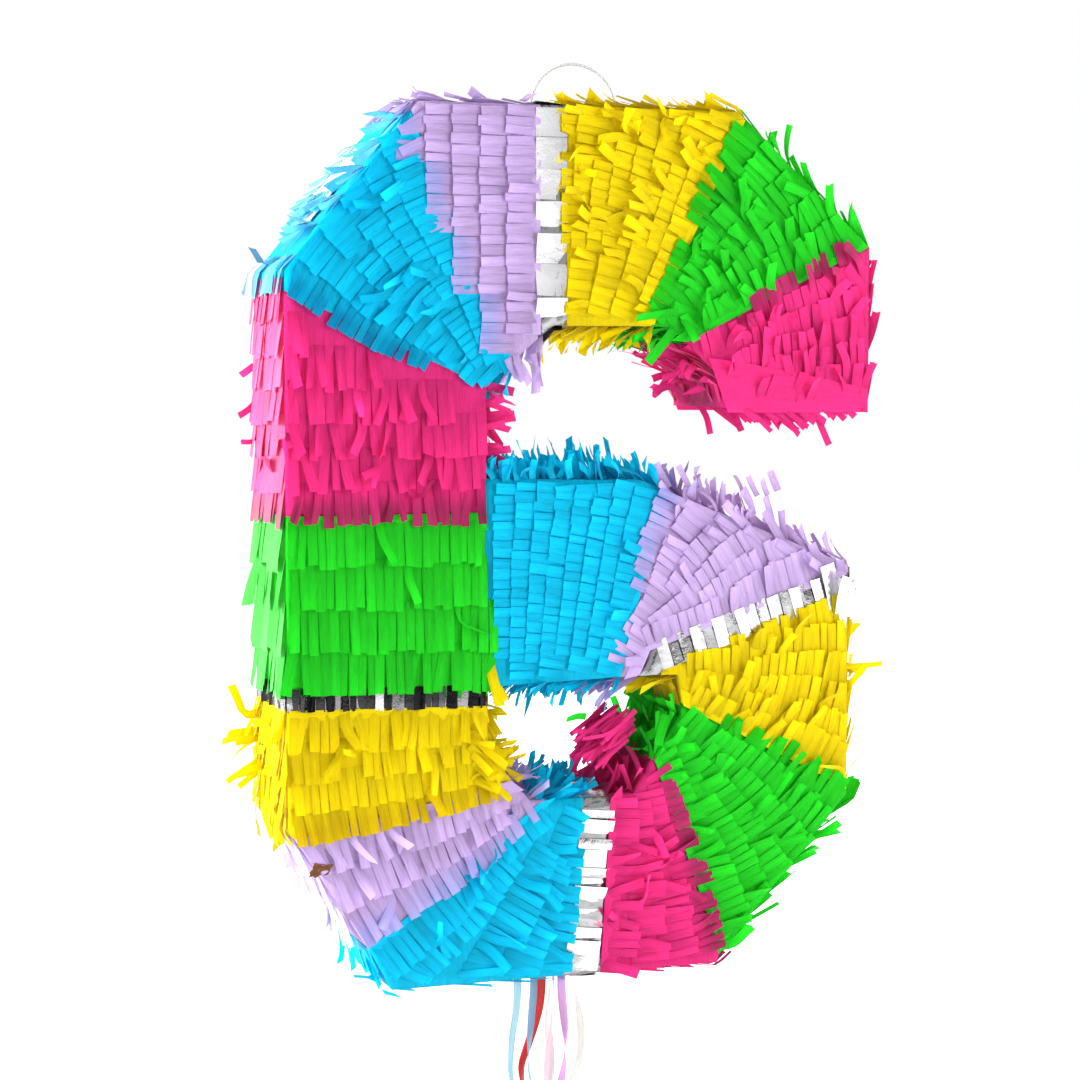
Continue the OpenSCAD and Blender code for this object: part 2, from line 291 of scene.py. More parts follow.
def kraft_board(name, colour, flute=0.0071):
    """Corrugated kraft board: fibres, faint flute lines and speckles. flute is their distance."""
    s = material(name)
    place = s.place()
    fibre = s.streaks(place, (60, 60, 900), 5, 0.7)
    cloud = s.noise(place, 24, 4)
    speck = s.noise(place, 700, 2)
    wave = s.node("TexWave", {"Vector": place, "Scale": WAVE_PERIOD / flute, "Distortion": 0.4},
                  wave_type="BANDS", bands_direction="X")
    base = s.mix(s.ramp(fibre, 0.3, 0.7, 0.0, 1.0), shaded(colour, 0.86), linear(colour))
    base = s.mix(s.ramp(cloud, 0.35, 0.65, 0.0, 0.35), base, shaded(colour, 1.08))
    base = s.mix(s.ramp(speck, 0.62, 0.7, 0.0, 0.5), base, shaded(colour, 0.6))
    height = s.math("ADD", s.math("MULTIPLY", wave.outputs["Fac"], 0.5), fibre)
    return s.finish(s.principled(Base_Color=base, Roughness=0.86, Specular_IOR_Level=0.2,
                                 Normal=s.bump(height, 0.5, 0.0005)))


def white_card():
    """Bleached card with a faint fibre and soft handling marks."""
    s = material("white_card")
    place = s.place()
    fibre = s.noise(place, 420, 5, 0.7)
    marks = s.noise(place, 38, 4)
    base = s.mix(s.ramp(marks, 0.35, 0.7, 0.0, 0.6), linear((0.97, 0.965, 0.955)),
                 linear((0.90, 0.885, 0.875)))
    base = s.mix(s.ramp(fibre, 0.5, 0.75, 0.0, 0.25), base, linear((0.84, 0.82, 0.80)))
    return s.finish(s.principled(Base_Color=base, Roughness=0.62, Specular_IOR_Level=0.35,
                                 Normal=s.bump(fibre, 0.25, 0.0004)))


def curling_ribbon(name, colour):
    """Polypropylene curling ribbon: glossy, finely ribbed along its length, slightly see-through."""
    s = material(name)
    grain = s.grain()
    ribs = s.streaks(grain, (4200, 14, 1), 2, 0.5)
    sheen = s.streaks(grain, (500, 40, 1), 3, 0.6)
    base = s.mix(s.ramp(sheen, 0.3, 0.7, 0.0, 1.0), shaded(colour, 0.93), shaded(colour, 1.04))
    gloss = s.principled(Base_Color=base, Roughness=s.ramp(ribs, 0.3, 0.7, 0.2, 0.36),
                         Specular_IOR_Level=0.55, Coat_Weight=0.25, Coat_Roughness=0.15,
                         Normal=s.bump(ribs, 0.35, 0.0003))
    return s.finish(s.thin(gloss, base, 0.3))


def nylon():
    """Clear stiff nylon line with a little haze."""
    s = material("clear_nylon")
    haze = s.noise(s.place(), 240)
    tint = s.mix(haze, (0.62, 0.62, 0.63, 1), (0.74, 0.74, 0.75, 1))
    return s.finish(s.principled(Base_Color=tint, Transmission_Weight=0.15, IOR=1.5,
                                 Roughness=s.ramp(haze, 0.3, 0.7, 0.12, 0.3)))


TISSUE = {c: tissue(SLOTS[c], c) for c in (PINK, GREEN, YELLOW, LILAC, BLUE)}
TISSUE[FOIL] = foil_paper()
CARD_PAPER = white_card()


# ---- flat outlines and row lines
def between(a, b, k):
    """The flat point at a share k of the way from a to b."""
    return (a[0] + (b[0] - a[0]) * k, a[1] + (b[1] - a[1]) * k)


def line_length(line):
    return sum(math.dist(a, b) for a, b in zip(line, line[1:]))


def on_line(line, share):
    """The point at that share of a polyline's length."""
    left = share * line_length(line)
    for a, b in zip(line, line[1:]):
        size = math.dist(a, b)
        if left <= size or b is line[-1]:
            return between(a, b, left / size)
        left -= size


def inside(point, loop):
    """Whether a flat point is inside a closed outline."""
    x, z = point
    found = False
    for (x1, z1), (x2, z2) in zip(loop, loop[1:] + loop[:1]):
        if (z1 > z) != (z2 > z) and x < (x2 - x1) * (z - z1) / (z2 - z1) + x1:
            found = not found
    return found


OUTER_LOOP = [wall[1] for wall in OUTER]
HOLE_LOOP = [wall[1] for wall in HOLE]


def on_figure(point):
    return inside(point, OUTER_LOOP) and not inside(point, HOLE_LOOP)


# Every wall as its name, its two ends and its tip direction.
EDGES = [(name, a, b, way) for walls in (OUTER, HOLE)
         for (name, a, way, _), (_, b, _, _) in zip(walls, walls[1:] + walls[:1])]
WALL_LIFT = {name: lift for name, _, _, lift in OUTER + HOLE}


def crossings(line):
    """Where a row line crosses the walls: (share of the line, point, wall), outer end first."""
    found = []
    total = line_length(line)
    done = 0
    for p, q in zip(line, line[1:]):
        size = math.dist(p, q)
        dx, dz = q[0] - p[0], q[1] - p[1]
        for wall in EDGES:
            _, a, b, _ = wall
            ex, ez = b[0] - a[0], b[1] - a[1]
            cross = dx * ez - dz * ex
            if abs(cross) < 1e-9:
                continue
            t = ((a[0] - p[0]) * ez - (a[1] - p[1]) * ex) / cross
            u = ((a[0] - p[0]) * dz - (a[1] - p[1]) * dx) / cross
            if 0 <= t < 1 and 0 <= u < 1:
                found.append(((done + t * size) / total, between(p, q, t), wall))
        done += size
    return sorted(found, key=lambda c: c[0])


def nearest_on_walls(point):
    """The nearest point on a wall line, and its distance."""
    best, gap = None, math.inf
    for _, a, b, _ in EDGES:
        ex, ez = b[0] - a[0], b[1] - a[1]
        share = ((point[0] - a[0]) * ex + (point[1] - a[1]) * ez) / (ex * ex + ez * ez)
        near = between(a, b, max(0, min(1, share)))
        if math.dist(near, point) < gap:
            best, gap = near, math.dist(near, point)
    return best, gap


START_PAST, END_BEFORE = 5, 1  # mm kept clear of a slanting start or end that cuts rows off


class Band:
    """One colour's stretch of the stroke, with its rows of teeth from start to end."""

    def __init__(self, index):
        self.name, self.colour, self.start, self.rows, self.tooth, self.mess, self.wall_mess = (
            BANDS[index])
        after = BANDS[index + 1] if index + 1 < len(BANDS) else (None, None, LAST_EDGE)
        _, self.next_colour, self.end = after[:3]
        self.foil = self.colour == FOIL
        self.level = self.name in LEVEL_BANDS
        self.upright = UPRIGHT_BANDS.get(self.name)
        self.random = random.Random(7000 + index)

    def line(self, t):
        """The row line at t from 0, the band's start, to 1, its end."""
        return [self.at(t, k / 8) for k in range(9)]

    def at(self, t, u):
        """The point at a share u of the row line at t."""
        b = on_line(self.end, u)
        if self.level:
            x = between(self.start[0], self.start[-1], u)[0]
            return (x, b[1] + (self.start[0][1] - self.end[0][1]) * (1 - t))
        a = on_line(self.start, u)
        if self.upright:
            return (a[0] - self.upright * t, a[1])
        return between(a, b, t)

    def span(self, t):
        """The shares at which the row line at t enters and leaves the figure, and its length."""
        line = self.line(t)
        cuts = crossings(line)
        if not cuts:
            return None
        return cuts[0][0], (cuts[1][0] if len(cuts) > 1 else 1.0), line_length(line)

    def way_on(self, t, u, here, ahead):
        """Square to the row line, towards the next row."""
        a, b = self.at(t, max(0, u - 0.02)), self.at(t, min(1, u + 0.02))
        row = Vector((b[0] - a[0], 0, b[1] - a[1])).normalized()
        go = Vector((row.z, 0, -row.x))
        return go if go.x * (ahead[0] - here[0]) + go.z * (ahead[1] - here[1]) >= 0 else -go

    def holds(self, point):
        """Whether a point lies past the band's slanting start, or before its slanting end."""
        x, z = point
        (x1, z1), (x2, z2) = self.start[0], self.start[-1]
        if self.level:
            return z < z1 + (z2 - z1) * (x - x1) / (x2 - x1) - START_PAST
        (x1, z1), (x2, z2) = self.end[0], self.end[-1]
        return not self.upright or x > x1 + (x2 - x1) * (z - z1) / (z2 - z1) + END_BEFORE


# ---- teeth
STEPS = 7
NO_UNDER = (1, 1, 1, 0)
Y_REACH = 51.5  # how far from the middle a loose tooth may reach, to the front or the back
X_REACH = (-21.5, 373)
BASE_TONE, TIP_TONE = 0.78, 1.08  # each tooth is in its neighbours' shade at its root
# painted shade: a tooth's two long edges are darker than its middle
EDGE_SHADE = 0.90
GRAIN_SHIFT = (0.013, 0.007)  # gives each tooth creases of its own
FOLD_FROM, FOLD_OVER = 0.35, 0.3  # where along a tooth it folds, and over how much of it
UNDER_FROM, UNDER_RISE = 0.25, 2.5  # where the next colour starts to show through, how fast


def kept_in(point):
    """A point moved back into the room that loose fringe may take."""
    point.x = min(max(point.x, panel_low.x + X_REACH[0] * MM), panel_low.x + X_REACH[1] * MM)
    point.y = min(max(point.y, -Y_REACH * MM), Y_REACH * MM)
    return point


class Strip:
    """Collects teeth and sheets of one piece, then makes its mesh."""

    def __init__(self):
        self.points, self.faces, self.grain = [], [], []
        self.tone, self.under, self.painted_glare = [], [], []

    def add(self, point, grain, tone=1.0, under=NO_UNDER, painted_glare=0.0):
        self.points.append(point)
        self.grain.append(grain)
        self.tone.append(tone)
        self.under.append(under)
        self.painted_glare.append(painted_glare)

    def grid(self, rows, tones, unders, width, length, painted_glare=0.0):
        """A sheet through rows of points. tones and unders give each row's shade and colour."""
        first = len(self.points)
        across = len(rows[0])
        for i, row in enumerate(rows):
            for j, point in enumerate(row):
                grain = (j / (across - 1) * width + first * GRAIN_SHIFT[0],
                         i / (len(rows) - 1) * length + first * GRAIN_SHIFT[1])
                # painted shade along the tooth's two edges
                edge = across == 3 and j != 1
                self.add(point, grain, tones[i] * (EDGE_SHADE if edge else 1.0), unders[i], painted_glare)
        for i in range(len(rows) - 1):
            for j in range(across - 1):
                a = first + i * across + j
                self.faces.append((a, a + 1, a + across + 1, a + across))

    def sheet(self, along, across, place, width, length):
        """A plain sheet through the points place(a, b), where a and b go from 0 to 1."""
        rows = [[place(i / along, j / across) for j in range(across + 1)]
                for i in range(along + 1)]
        self.grid(rows, [1.0] * len(rows), [NO_UNDER] * len(rows), width * MM, length * MM)


    def tooth(self, path, length, width, *, rise, curl, sway, turn, tilt, cup, skew, tone, bow,
              fold, under=NO_UNDER, painted_glare=0.0):
        """One cut tooth of fringe, all sizes in millimetres.

        path(d) gives the point, the way ahead and the outward side at d. rise takes the tooth
        off its surface, curl throws its end out, bow its middle, sway bends it sideways, fold
        folds it over, turn twists it, tilt leans it, cup hollows it across and skew cuts its
        end askew.
        """
        tip = rise * length + curl
        step = length * math.sqrt(max(0.15, 1 - (tip / length) ** 2)) / STEPS
        rows, unders, tones = [], [], []
        ahead = aside = 0.0
        for i in range(STEPS + 1):
            s = i / STEPS
            bend = fold * min(1, max(0, (s - FOLD_FROM) / FOLD_OVER))
            if i:
                ahead += math.cos(bend) * step
                aside += math.sin(bend) * step
            middle, along, out = path(ahead)
            across = along.cross(out)
            height = rise * length * s + curl * s ** 2.4 + bow * math.sin(math.pi * s)
            middle = middle + (across * (aside + sway * s * s) + out * height) * MM
            flat = across * math.cos(bend) - along * math.sin(bend)
            twist = tilt + turn * s
            half = (flat * math.cos(twist) + out * math.sin(twist)) * (width / 2 * MM)
            push = along * (skew * s ** 6 * MM)
            row = [middle - half + push, middle + out * (cup * (0.3 + s) * MM),
                   middle + half - push]
            rows.append([kept_in(p) for p in row])
            shown = min(1, max(0, (s - UNDER_FROM) * UNDER_RISE))
            unders.append(under[:3] + (under[3] * shown,))
            tones.append(tone * (BASE_TONE + (TIP_TONE - BASE_TONE) * s))
        self.grid(rows, tones, unders, width * MM, length * MM, painted_glare)

    def piece(self, name, material, body, slot, replaces=()):
        mesh = bpy.data.meshes.new(name)
        mesh.from_pydata(self.points, [], self.faces)
        mesh.update()
        mesh.uv_layers.new(name="grain")
        # the tone attribute holds each tooth's random tone times its painted shade, and on foil its
        # painted reflection
        layers = {"tone": ("FLOAT", "value", self.tone), "painted_glare": ("FLOAT", "value", self.painted_glare),
                  "under": ("FLOAT_COLOR", "color", [c for four in self.under for c in four])}
        for layer, (kind, _, _) in layers.items():
            mesh.attributes.new(layer, kind, "POINT")
        for layer, (_, field, values) in layers.items():
            mesh.attributes[layer].data.foreach_set(field, values)
        corners = [0] * len(mesh.loops)
        mesh.loops.foreach_get("vertex_index", corners)
        places = [c for k in corners for c in self.grain[k]]
        mesh.uv_layers["grain"].data.foreach_set("uv", places)
        mesh.shade_smooth()
        mesh.materials.append(material)
        made = bpy.data.objects.new(name, mesh)
        scene.collection.objects.link(made)
        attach(made, body)
        if replaces:
            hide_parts(*replaces)
        return made


def straight(base, along, out):
    """A tooth's path across a flat face."""
    return lambda d: (base + along * (d * MM), along, out)


CORNER = 4  # mm to each side of a corner over which a tooth bends round it


class Outline:
    """One closed line of walls, and paths along it that bend round its corners."""

    def __init__(self, walls, side):
        self.names = [wall[0] for wall in walls]
        self.corners = [wall[1] for wall in walls]
        self.side = side
        self.starts = [0.0]
        for a, b in zip(self.corners, self.corners[1:] + self.corners[:1]):
            self.starts.append(self.starts[-1] + math.dist(a, b))

    def point(self, place):
        place %= self.starts[-1]
        i = next(i for i in range(len(self.corners)) if place < self.starts[i + 1])
        k = (place - self.starts[i]) / (self.starts[i + 1] - self.starts[i])
        return between(self.corners[i], self.corners[(i + 1) % len(self.corners)], k)

    def path(self, wall, start, way, y, lean, off):
        """A tooth's path from a point on a wall, leaning towards the front or the back."""
        i = self.names.index(wall)
        place = self.starts[i] + math.dist(self.corners[i], start)

        def at(d):
            here = place + way * d * math.cos(lean)
            x, z = self.point(here)
            (x1, z1), (x2, z2) = self.point(here - CORNER), self.point(here + CORNER)
            tangent = Vector((x2 - x1, 0, z2 - z1)).normalized()
            out = Vector((-tangent.z, 0, tangent.x)) * self.side
            along = tangent * (way * math.cos(lean)) + Vector((0, math.sin(lean), 0))
            return spot(x, y + d * math.sin(lean), z) + out * (off * MM), along, out

        return at


OUTLINES = {name: outline for outline in (Outline(OUTER, 1), Outline(HOLE, -1))
            for name in outline.names}
# The room on the walls that the trapdoor, the loop's legs and the fill flap take.
DOOR_WINDOW = (107, 197, -34, 31.5)
LOOP_LEGS, LEG_ROOM = (154, 206), (3.5, 10)
SLOPE_LOW, SLOPE_HIGH = OUTER_LOOP[2:4]
FLAP_ALONG = (32, 100)
FLAP_EDGE = -9

# Painted glare: how far the tissue is whitened on the sides that face the key light, from 0 to 1.
LIT_SIDE_GLARE = {("wall_leg_outer", "leg_pink"): 0.10, ("wall_leg_outer", "top_blue"): 0.15,
         ("wall_leg_outer", "leg_green"): 0.08, ("wall_top_left", "top_blue"): 0.15,
         ("wall_top_left", "top_lilac"): 0.4, ("wall_base_left", "base_lilac"): 0.3}
SMOOTH_SIDES = ("leg_pink", "leg_green")  # their teeth lie flat and wide on the leg's side
SLOPE_END_LIFT = 2  # the last row on the slope lies flat, and so do the teeth by the trapdoor
BASE_MESS = 0.05
BASE_OFF = 3.2  # the base's teeth lie under the CAD skin, the other walls' 1 mm off the board
FACE_GAP, WALL_GAP, FOIL_GAP = 0.22, 0.08, 0.4  # between a row's teeth
LEAST_PITCH, LEAST_TOOTH = 9, 15  # narrow ends of a band skip rows, and keep their teeth whole
OVERLAP = 1.45  # a tooth's length over its row's pitch
# How much of the next band's colour shows through a last row: tissue's, foil's, and less on lilac.
NEXT_SHARE, FOIL_SHARE, LILAC_SHARE = (0.35, 0.65), 0.12, 0.6
# Each foil strip's teeth: tilt, least and most width, and a painted reflection: the tones that
# darken each tooth as if it mirrored the dark of the room or its white panels.
FOIL_TEETH = {"leg_foil": (0.3, (3, 6.5), (0.02, 0.03, 0.05, 0.12, 0.3, 1.0)),
              "top_foil": (0.1, (7, 21), (1.0,)),
              "base_foil": (0.12, (4, 14), (0.8, 1.0, 1.0)),
              "bowl_foil": (0.16, (5, 8), (0.7, 0.85, 1.0))}


def blocked(wall, point, y):
    """Whether a place on a wall belongs to the trapdoor, the fill flap or the loop's legs."""
    if wall == "wall_base":
        x1, x2, y1, y2 = DOOR_WINDOW
        return x1 < point[0] < x2 and y1 < y < y2
    if wall == "wall_top":
        return abs(y) < LEG_ROOM[1] and any(abs(point[0] - leg) < LEG_ROOM[0] for leg in LOOP_LEGS)
    if wall == "wall_top_left":
        return FLAP_ALONG[0] < math.dist(SLOPE_LOW, point) < FLAP_ALONG[1] and y > FLAP_EDGE
    return False


def tooth_width(band, low, high):
    """The next tooth's width: foil strips have their own, tissue a share of the usual one."""
    if band.foil:
        return band.random.uniform(*FOIL_TEETH[band.name][1])
    return TOOTH_W * band.random.uniform(low, high)


def tooth_looks(r, mess, band, last=False, foil=False):
    """Random bends of one tooth: most lie flat, some lift, curl, twist or fold over."""
    loose = r.random() < mess * 0.4
    wild = r.random() < mess * 0.15
    looks = {
        "rise": 0.09 + r.uniform(-0.015, 0.015) + (0.12 * r.random() if loose else 0),
        "curl": r.gauss(0.1, 0.25) + loose * r.uniform(0.5, 4) + wild * r.uniform(2, 8),
        "sway": r.gauss(0, 0.25) + loose * r.gauss(0, 1.4) + wild * r.gauss(0, 3),
        "turn": r.gauss(0, 0.05) + loose * r.gauss(0, 0.35) + wild * r.gauss(0, 0.9),
        "tilt": r.gauss(0, 0.03) + loose * r.gauss(0, 0.15),
        "cup": r.gauss(0, 0.15) + loose * r.gauss(0, 0.4),
        "skew": r.gauss(0, 0.2) + loose * r.gauss(0, 0.5),
        "tone": max(0.72, min(1.16, r.gauss(1.0, 0.07))),
        "bow": r.uniform(0, 0.3) + loose * r.uniform(0, 1.5),
        "fold": loose * r.gauss(0, 0.25) + wild * r.gauss(0, 1.1),
    }
    if foil:
        tilt, _, tones = FOIL_TEETH[band.name]
        # painted reflection: each foil tooth takes one of its strip's tones
        looks.update(rise=r.gauss(0.03, 0.03), curl=r.gauss(0.2, 0.4), sway=0, fold=0, bow=0.3,
                     turn=r.gauss(0, 0.1), tilt=r.gauss(0, tilt), cup=r.gauss(0, 0.5),
                     tone=r.choice(tones))
    elif last and band.next_colour:
        share = r.uniform(*NEXT_SHARE) if band.next_colour != FOIL else FOIL_SHARE
        share *= LILAC_SHARE if band.colour == LILAC else 1
        looks["under"] = tuple(linear(band.next_colour)[:3]) + (share,)
    return looks


def face_rows(band, strip, side):
    """The rows on the front face (side -1) or the back face (side 1)."""
    r = band.random
    for k in range(band.rows):
        t = k / band.rows
        span = band.span(t)
        if not span:
            continue
        first, final, total = span
        place = first * total + 0.5
        while place < final * total:
            size = tooth_width(band, 0.78, 1.18)
            place += size / 2
            u = place / total
            if place + size / 2 > final * total + 1.5:
                break
            here = band.at(t, u)
            ahead = band.at(min(1, t + 1 / band.rows), u)
            go = band.way_on(t, u, here, ahead)
            pitch = math.dist(here, ahead)
            every = max(1, math.ceil(LEAST_PITCH / max(pitch, 1))) if band.rows > 1 else 1
            place += size / 2 + (FOIL_GAP if band.foil else FACE_GAP)
            if k % every or not on_figure(here) or not band.holds(here):
                continue
            length = band.tooth
            if not band.foil:
                length = max(LEAST_TOOTH, min(length * r.uniform(0.93, 1.04), pitch * OVERLAP + 3))
                length *= 1 + 0.1 * band.mess * r.random()
            if band.next_colour == FOIL:
                length = min(length, max(6, math.dist(here, band.at(1, u)) + 4))
            lean = 0.05 * noise.noise(Vector((place * 0.05, k * 9.1, side))) + r.gauss(0, 0.012)
            if r.random() < band.mess * 0.25:
                lean += r.gauss(0, 0.3)
            along, length = keep_on_figure(here, go, length, lean, band)
            patch = 0.5 + 0.5 * noise.noise(Vector((here[0] * 0.03, here[1] * 0.03, side * 5)))
            last = k == band.rows - 1 or not band.holds(ahead)
            looks = tooth_looks(r, band.mess * 2 * patch, band, last, band.foil)
            base = spot(here[0], (FRONT if side < 0 else BACK) + side, here[1])
            strip.tooth(straight(base, along, Vector((0, side, 0))), length, size, **looks)


def keep_on_figure(here, go, length, lean, band):
    """Turns or shortens a tooth that would stick out past the figure's edge."""
    stray = band.random.random() < 0.04 + 0.12 * band.mess
    tries = [(lean + extra, length) for extra in (0, 0.2, -0.2, 0.4, -0.4, 0.6, -0.6)]
    tries += [(lean, length * share) for share in (0.8, 0.6, 0.45)]
    for angle, size in tries:
        along = turned(go, angle)
        if stray or on_figure((here[0] + along.x * size, here[1] + along.z * size)):
            return along, size
    return turned(go, lean), length * 0.4


def turned(way, angle):
    c, s = math.cos(angle), math.sin(angle)
    return Vector((way.x * c - way.z * s, 0, way.x * s + way.z * c))


def wall_rows(band, strip):
    """The rows that carry on round the outer and inner walls."""
    last_places = {}
    for k in range(band.rows):
        cuts = crossings(band.line(k / band.rows))
        for end, (_, point, wall) in enumerate(cuts[:2]):
            seen = last_places.get(end)
            crowded = seen and math.dist(seen, point) < 8
            if wall[3] == 0 or crowded or (band.upright and not band.holds(point)):
                continue
            last_places[end] = point
            wall_teeth(band, strip, wall, point, k == band.rows - 1)


def wall_teeth(band, strip, wall, point, last):
    """One row across a wall, from the front edge to the back edge."""
    r = band.random
    name, a, b, way = wall
    on_base = name == "wall_base"
    lift = WALL_LIFT[name] * (0.4 + band.wall_mess) * (0.25 if band.foil else 1)
    if name == "wall_top_left" and last:
        lift = SLOPE_END_LIFT
    mess = BASE_MESS if on_base else band.wall_mess
    wide = name == "wall_leg_outer" and band.name in SMOOTH_SIDES
    end = Vector((b[0] - a[0], b[1] - a[1])).normalized() * way
    y = FRONT + 0.3
    while y < BACK - 2:
        size = tooth_width(band, 0.8, 1.15)
        size = min(size * (r.uniform(1.2, 3) if wide else 1), BACK - y)
        if on_base:
            size = min(size, TOOTH_W)
        middle = y + size / 2
        y += size + (FOIL_GAP if band.foil else WALL_GAP)
        length = band.tooth * (1 if band.foil else r.uniform(0.94, 1.1))
        length *= 0.8 if lift > 9 else 1
        tip = (point[0] + end.x * length, point[1] + end.y * length)
        if blocked(name, point, middle) or blocked(name, tip, middle):
            continue
        looks = tooth_looks(r, mess, band, last, band.foil)
        if not band.foil:
            looks["rise"] += lift / length * r.uniform(0.05, 0.9)
            looks["curl"] += lift * r.uniform(-0.2, 0.35)
            looks["turn"] += r.gauss(0, min(1.3, 0.11 * lift))
            looks["tilt"] += r.gauss(0, 0.02 * lift)
            looks["sway"] += r.gauss(0, 0.22 * lift)
        # painted glare on the sides that face the key light
        looks["painted_glare"] = LIT_SIDE_GLARE.get((name, band.name), 0.0) * r.uniform(0.7, 1.3)
        lean = r.gauss(0, 0.02 + 0.02 * lift)
        if r.random() < mess * 0.3:
            lean += r.gauss(0, 0.3)
        path = OUTLINES[name].path(name, point, way, middle, lean, BASE_OFF if on_base else 1.0)
        strip.tooth(path, length, size, **looks)


SKIN_OFF = 0.75  # mm that the sheet under the rows lies off the board
# painted shade: the sheet under the rows is darkened, most under foil, so the gaps between teeth show
# dark
FOIL_GAP_SHADE, TISSUE_GAP_SHADE = 0.35, 0.86  # its shade between the teeth
LONGEST_EDGE = 0.009


def base_skin(band, strip):
    """The crinkled sheet that the rows are glued to, shaped from the CAD fringe."""
    flat = bmesh.new()
    flat.from_mesh(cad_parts["fringe_" + band.name].data)
    bmesh.ops.remove_doubles(flat, verts=flat.verts, dist=0.00002)
    for vert in flat.verts:
        x = (vert.co.x - panel_low.x) / MM
        z = (vert.co.z - panel_low.z) / MM
        near, gap = nearest_on_walls((x, z))
        if gap > 0.01 and not on_figure((x, z)):
            x, z = between(near, (x, z), 0.95 if z < 0 else 0.25)
        y = max(min(vert.co.y / MM, BACK + SKIN_OFF), FRONT - SKIN_OFF)
        vert.co = spot(x, y, z)
    for _ in range(5):
        long_ones = [e for e in flat.edges if e.calc_length() > LONGEST_EDGE]
        if not long_ones:
            break
        bmesh.ops.subdivide_edges(flat, edges=long_ones, cuts=1)
        bmesh.ops.triangulate(flat, faces=[f for f in flat.faces if len(f.verts) > 3])
    flat.normal_update()
    for vert in flat.verts:
        if vert.co.z < panel_low.z:
            continue  # the layer round the trapdoor keeps its clear gap
        push = noise.noise(vert.co * 140) * 0.25 + noise.noise(vert.co * 420) * 0.12
        vert.co += vert.normal * push * MM
    first = len(strip.points)
    flat.verts.index_update()
    for vert in flat.verts:
        # the sheet takes the painted gap shade as its tone
        strip.add(vert.co.copy(), (vert.co.x + vert.co.y, vert.co.z),
                  FOIL_GAP_SHADE if band.foil else TISSUE_GAP_SHADE)
    for face in flat.faces:
        strip.faces.append(tuple(first + v.index for v in face.verts))
    flat.free()


HEADER_DEEP, HEADER_OFF = 10, 1.55
HOOK_HEADER = (14, 34)  # the hook's header is this deep at its outer and inner ends
HOOK_HEADER_BACK = 6  # and starts this far before the band
HOOK_CREASES = 0.6


def header(band, strip, side):
    """The uncut folded edge that starts a band, flat with small cross creases."""
    first, final, total = band.span(0.0)
    count = max(4, int((final - first) * total / 3))
    level = FRONT if side < 0 else BACK
    hook = band.name == "hook_pink"
    rows = []
    for i in range(count + 1):
        u = first + (final - first) * i / count
        deep = HOOK_HEADER[0] + (HOOK_HEADER[1] - HOOK_HEADER[0]) * i / count if hook else HEADER_DEEP
        a = band.at(0, u)
        b = band.at(0.5 / band.rows, u)
        size = max(0.01, math.dist(a, b))
        row = []
        for j in range(9):
            x, z = between(a, b, (deep * j / 8 - (HOOK_HEADER_BACK if hook else 0)) / size)
            high = HEADER_OFF + 0.35 * noise.noise(Vector((x, z, 0)) * 0.35) - 0.04 * j
            if hook:
                high += 0.2 * j + HOOK_CREASES * noise.noise(Vector((x * 0.06, 0, z * 0.5)))
            row.append(spot(x, level + side * high, z))
        rows.append(row)
    tone = 1.0 + band.random.gauss(0, 0.02)
    strip.grid(rows, [tone] * len(rows), [NO_UNDER] * len(rows), HEADER_DEEP * MM,
               (final - first) * total * MM)


HOOK_ROWS = (-37, -28, 0, 26)
HOOK_END = (264, 318, 338)  # where its rows start, where their teeth get short, where they end
HOOK_Z = 325


def hook_end_teeth(band, strip):
    """The rows under the hook, which hang free below its end."""
    r = band.random
    for y in HOOK_ROWS:
        x = HOOK_END[0]
        while x < HOOK_END[2]:
            size = r.uniform(2.6, 4.4)
            x += size + r.uniform(0.5, 5.5)
            along = Vector((r.gauss(0.95, 0.25), r.gauss(-0.1, 0.12), -r.uniform(0.5, 1.0)))
            along.normalize()
            across = along.cross(Vector((0, -1, 0))).normalized()
            length = r.uniform(13, 26) if x < HOOK_END[1] else r.uniform(8, 13)
            looks = tooth_looks(r, 0.5, band)
            looks["rise"] = 0.0
            # painted shade under the hook
            looks["tone"] *= 0.93
            path = straight(spot(x, y, HOOK_Z), along, across.cross(along).normalized())
            strip.tooth(path, length, size, **looks)


